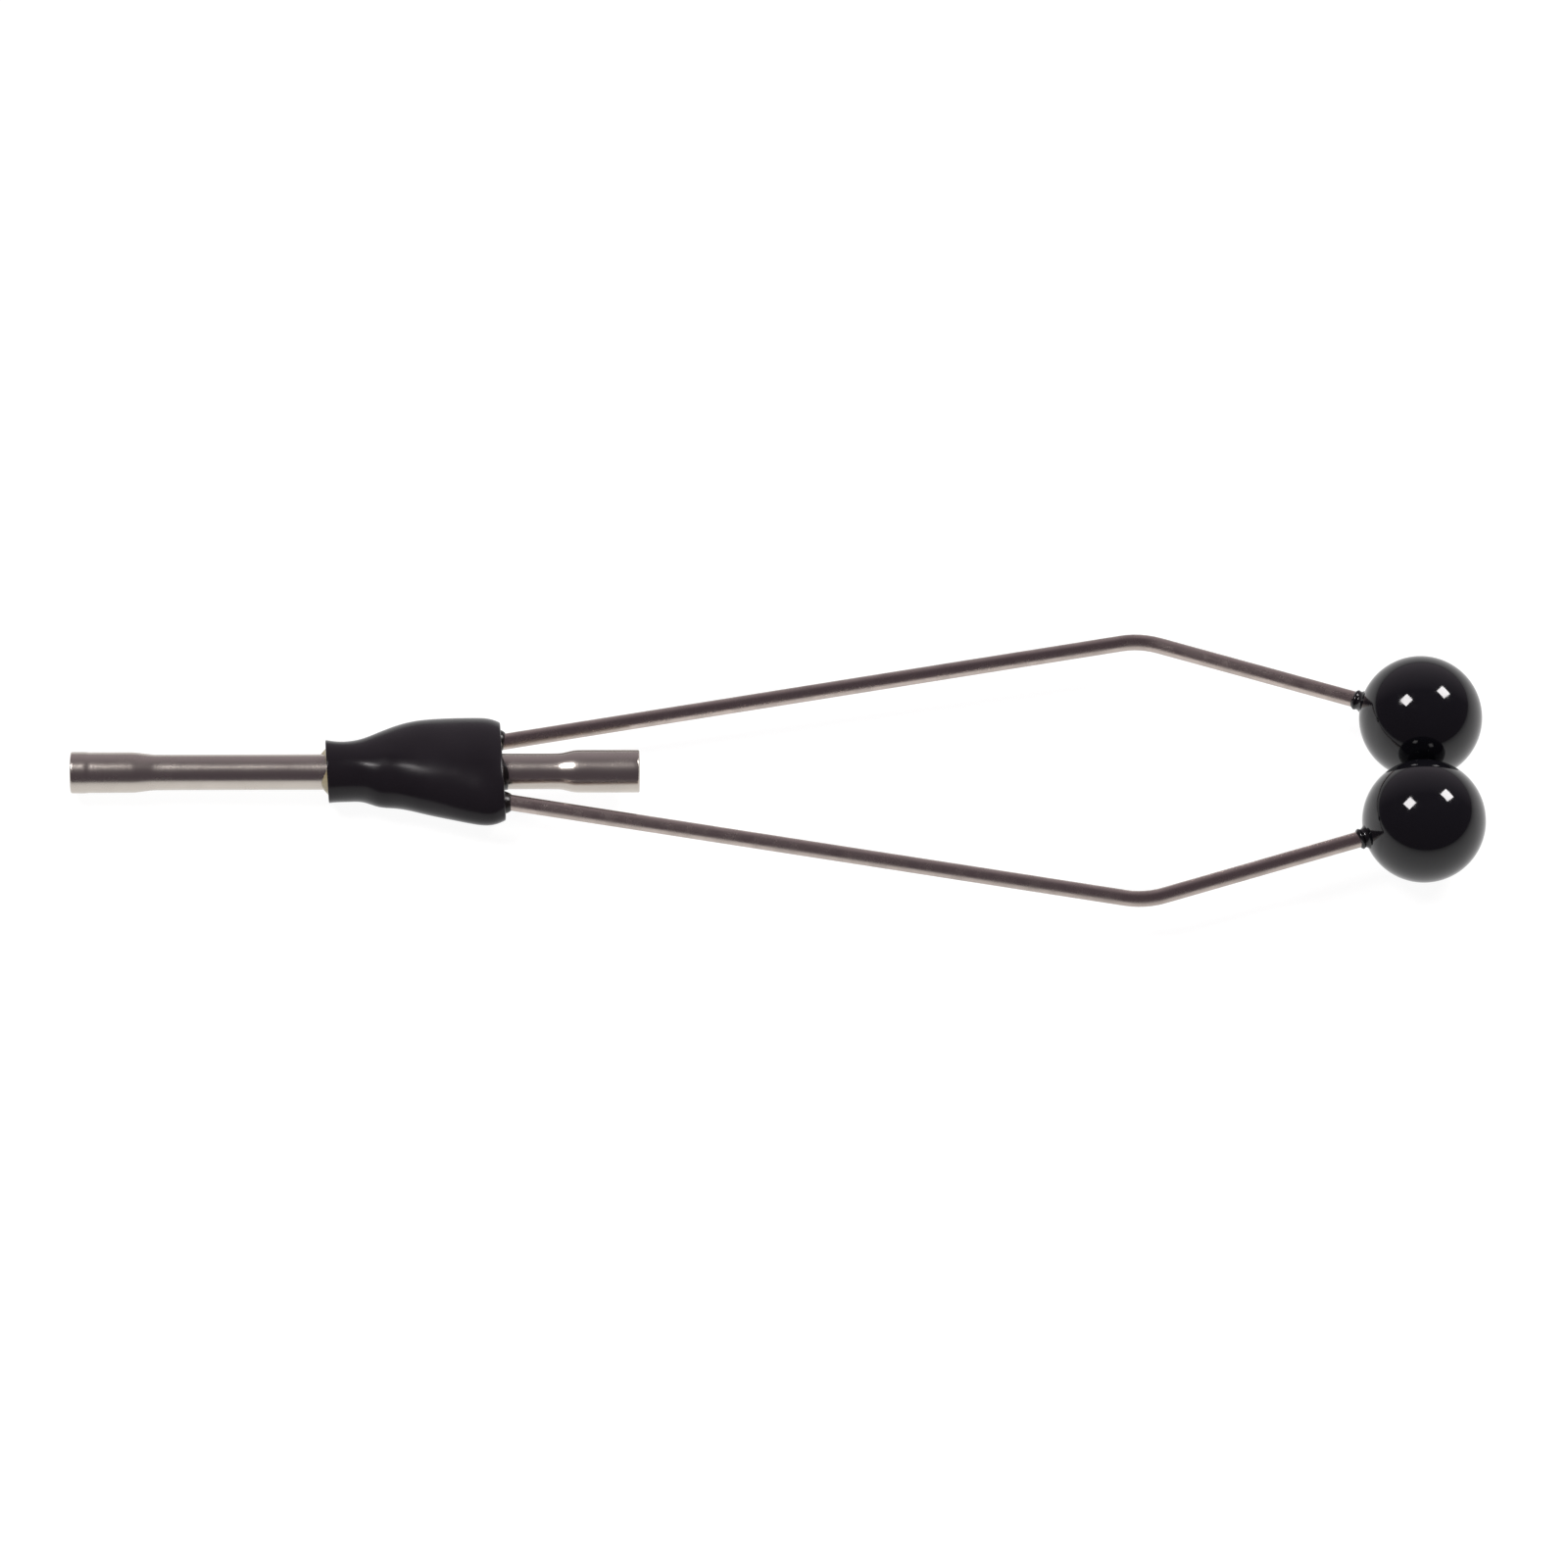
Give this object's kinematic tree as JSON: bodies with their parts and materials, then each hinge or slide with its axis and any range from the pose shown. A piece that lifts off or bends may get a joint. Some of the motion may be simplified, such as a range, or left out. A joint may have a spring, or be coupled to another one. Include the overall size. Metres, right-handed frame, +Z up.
{
  "type": "bobbin holder",
  "caption": "Thread bobbin holder: a steel thread tube in a black shrink sleeve between two bent spring wires that end in black balls, which grip a spool.",
  "frame": {"origin": "centre of the tube's front mouth, where the thread comes out, on the tube's axis", "axes": "+X along the tube towards the balls, +Y to the left arm in the plane of the wires, +Z up"},
  "size_m": [0.1142, 0.0264, 0.01],
  "materials": {
    "tube_steel": "drawn stainless steel tube, polished round, fine rings",
    "wire_steel": "drawn spring steel, bright with fine draw lines along it",
    "ball_black": "moulded and tumble polished, high gloss",
    "glue_black": "cured drop of adhesive, wet gloss",
    "sleeve_black": "shrunk polyolefin tubing, satin",
    "hot_melt": "hot-melt adhesive, cream, slightly translucent",
    "braze": "as it flowed"
  },
  "bodies": {
    "grip": {"thread_tube": "tube_steel", "shrink_sleeve": "sleeve_black", "adhesive_lining": "hot_melt", "braze_fillet_left": "braze", "braze_fillet_right": "braze", "wire_root_left": "wire_steel", "wire_root_right": "wire_steel"},
    "arm_left": {"wire_arm_left": "wire_steel", "ball_left": "ball_black", "glue_bead_left": "glue_black"},
    "arm_right": {"wire_arm_right": "wire_steel", "ball_right": "ball_black", "glue_bead_right": "glue_black"}
  },
  "joints": [
    {"name": "left_arm_flex", "type": "hinge", "parent": "grip", "child": "arm_left", "pos_m": [0.0354, 0.003, 0], "axis": [0, 0, 1], "range_deg": [0, 12], "stiffness_Nm_per_rad": 0.84, "springref_deg": -2.86},
    {"name": "right_arm_flex", "type": "hinge", "parent": "grip", "child": "arm_right", "pos_m": [0.0354, -0.003, 0], "axis": [0, 0, -1], "range_deg": [0, 12], "stiffness_Nm_per_rad": 0.84, "springref_deg": -2.86}
  ]
}
